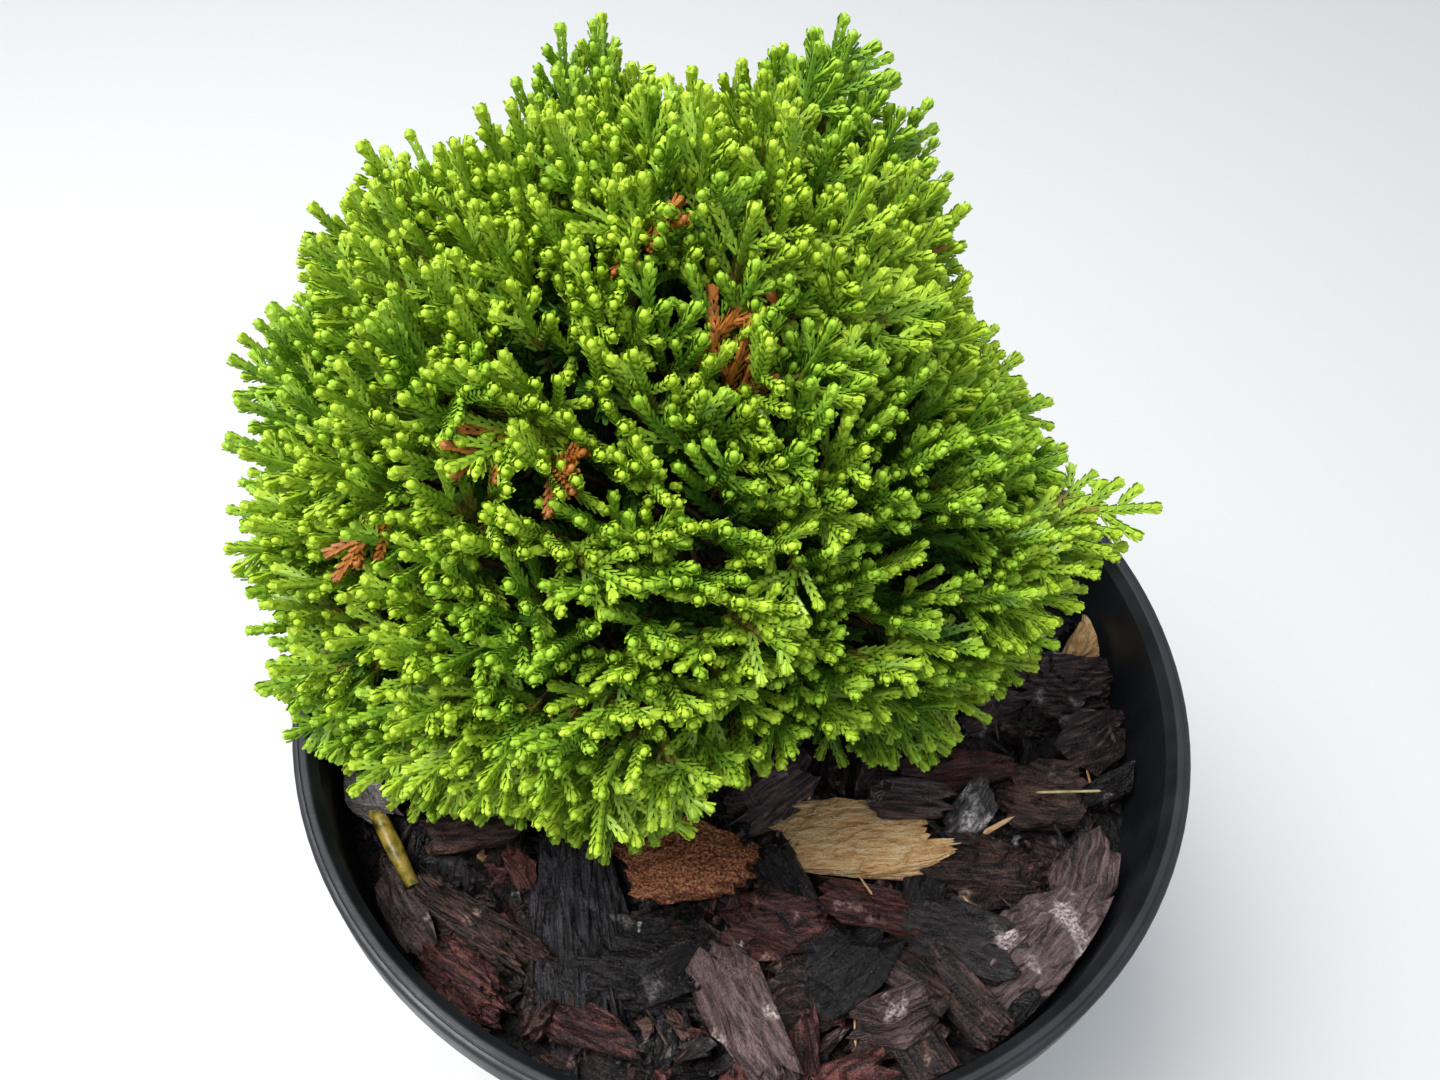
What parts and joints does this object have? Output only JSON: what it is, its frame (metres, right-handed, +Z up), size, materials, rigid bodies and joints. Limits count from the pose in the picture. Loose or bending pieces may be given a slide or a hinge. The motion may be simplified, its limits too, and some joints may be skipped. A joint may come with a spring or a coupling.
{
  "type": "potted conifer",
  "caption": "Mounded dwarf conifer with flat fan-shaped sprays of scale leaves, in a round black plastic nursery pot topped with wet bark chips.",
  "frame": {"origin": "centre of the pot's flat underside", "axes": "+Z up along the pot axis; -Y is the side that the picture was taken from, +X to its right"},
  "size_m": [0.2081, 0.2036, 0.316],
  "materials": {
    "pot_plastic": "matte black moulded plastic with a slightly worn sheen on the lip",
    "soil": "dark damp potting compost",
    "mulch": "wet dark bark pieces",
    "bark_chips": "wet red-brown and grey-brown pine bark",
    "pale_wood": "tan fibrous split wood",
    "limb_bark": "thin stringy red-brown bark",
    "foliage": "glossy bright green scale leaves with yellow-green tips"
  },
  "bodies": {
    "root": {"pot": "pot_plastic", "potting_soil": "soil", "bark_mulch": "mulch", "pale_wood_chip": "pale_wood", "rust_bark_chip": "bark_chips", "ridged_bark_chip": "bark_chips", "strip_bark_chip": "bark_chips", "red_bark_chip": "bark_chips", "black_bark_chip": "bark_chips", "grey_bark_chip": "bark_chips", "block_bark_chip": "bark_chips", "plum_bark_chip": "bark_chips", "crumb_bark_chip": "bark_chips", "trunk": "limb_bark", "bough_low_1": "limb_bark", "foliage_low_1": "foliage", "bough_low_2": "limb_bark", "foliage_low_2": "foliage", "bough_low_3": "limb_bark", "foliage_low_3": "foliage", "bough_low_4": "limb_bark", "foliage_low_4": "foliage", "bough_low_5": "limb_bark", "foliage_low_5": "foliage", "bough_low_6": "limb_bark", "foliage_low_6": "foliage", "bough_low_7": "limb_bark", "foliage_low_7": "foliage", "bough_low_8": "limb_bark", "foliage_low_8": "foliage", "bough_low_9": "limb_bark", "foliage_low_9": "foliage", "bough_mid_1": "limb_bark", "foliage_mid_1": "foliage", "bough_mid_2": "limb_bark", "foliage_mid_2": "foliage", "bough_mid_3": "limb_bark", "foliage_mid_3": "foliage", "bough_mid_4": "limb_bark", "foliage_mid_4": "foliage", "bough_mid_5": "limb_bark", "foliage_mid_5": "foliage", "bough_mid_6": "limb_bark", "foliage_mid_6": "foliage", "bough_mid_7": "limb_bark", "foliage_mid_7": "foliage", "bough_high_1": "limb_bark", "foliage_high_1": "foliage", "bough_high_2": "limb_bark", "foliage_high_2": "foliage", "bough_high_3": "limb_bark", "foliage_high_3": "foliage", "bough_high_4": "limb_bark", "foliage_high_4": "foliage", "bough_high_5": "limb_bark", "foliage_high_5": "foliage", "bough_lead_1": "limb_bark", "foliage_lead_1": "foliage", "bough_lead_2": "limb_bark", "foliage_lead_2": "foliage"}
  },
  "joints": []
}
